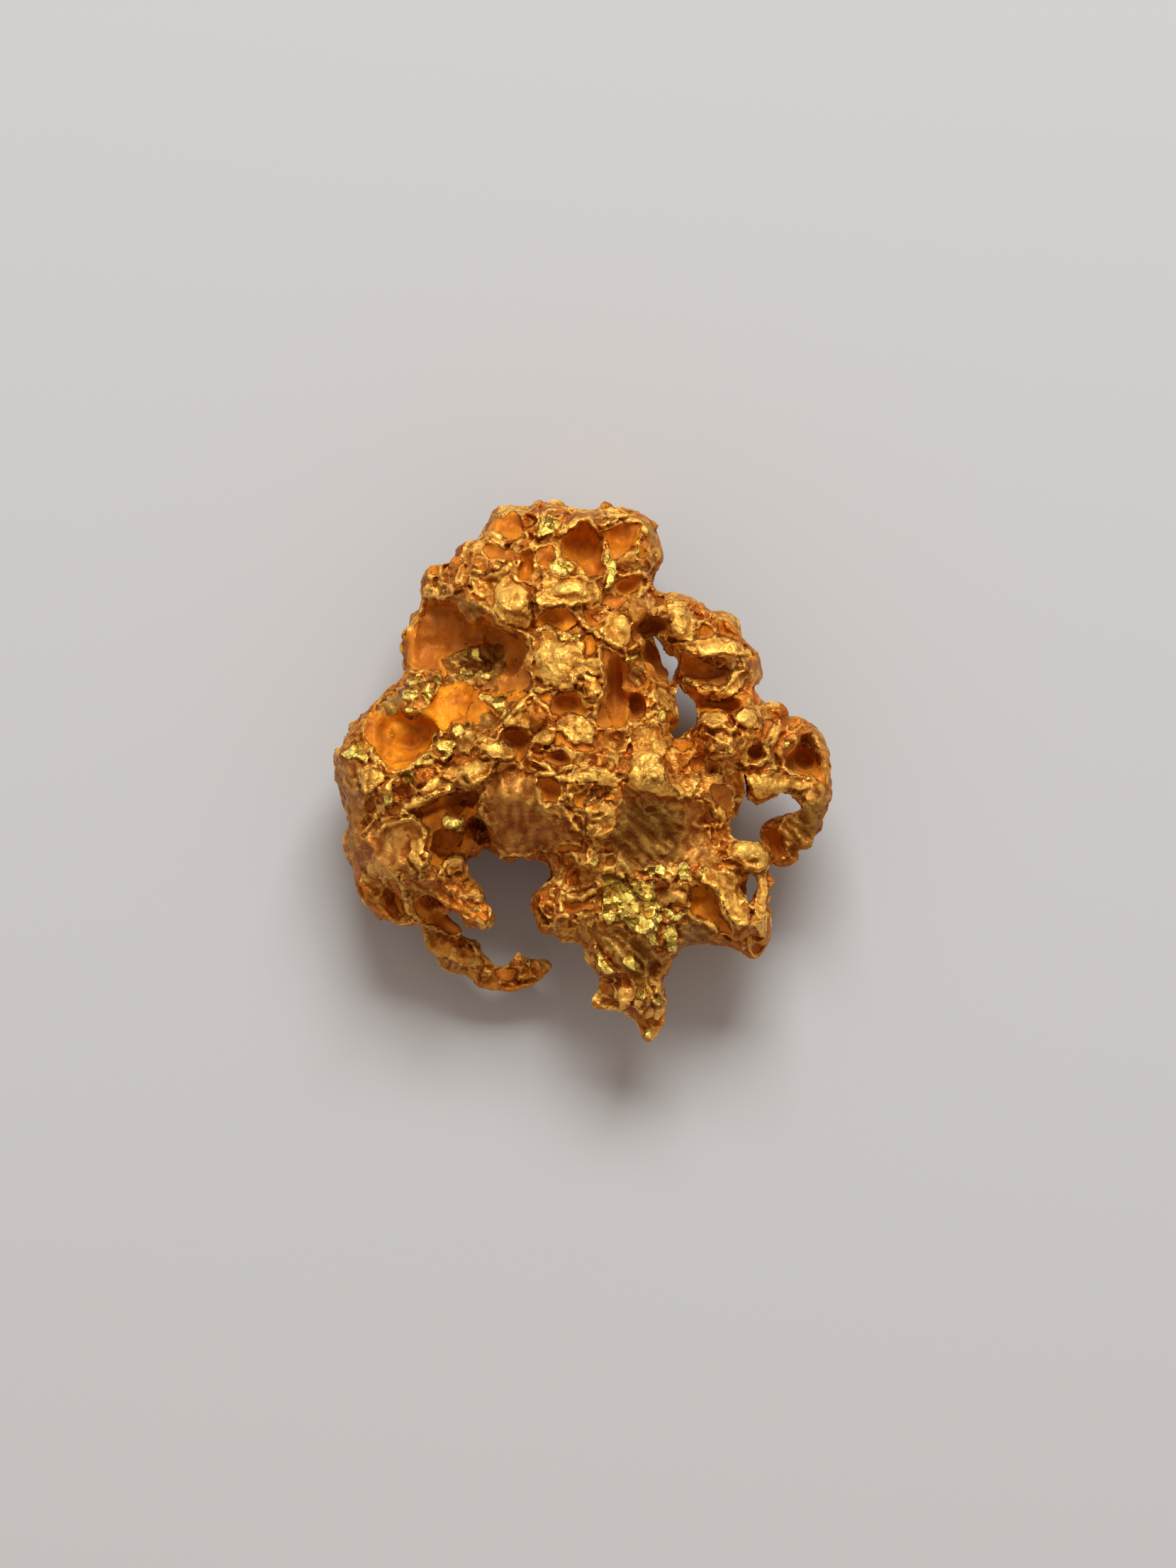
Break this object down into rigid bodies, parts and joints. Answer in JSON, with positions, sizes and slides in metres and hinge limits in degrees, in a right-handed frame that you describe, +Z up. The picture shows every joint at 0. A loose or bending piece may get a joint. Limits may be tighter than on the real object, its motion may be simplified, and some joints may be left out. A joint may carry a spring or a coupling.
{
  "type": "natural gold nugget",
  "caption": "Natural gold nugget, spongy and pitted, with a hooked ear, see-through gaps, a thorn-like spike and a low curled arm; it lies on ground-flat feet.",
  "frame": {"origin": "middle of the outline's box, on the plane that the nugget rests on", "axes": "+Z up from the resting plane, +Y along the longest way from the spike to the top lobe, +X towards the hooked ear"},
  "size_m": [0.0212, 0.023, 0.0099],
  "materials": {
    "gold": "satin"
  },
  "bodies": {
    "root": {"nugget": "gold"}
  },
  "joints": []
}
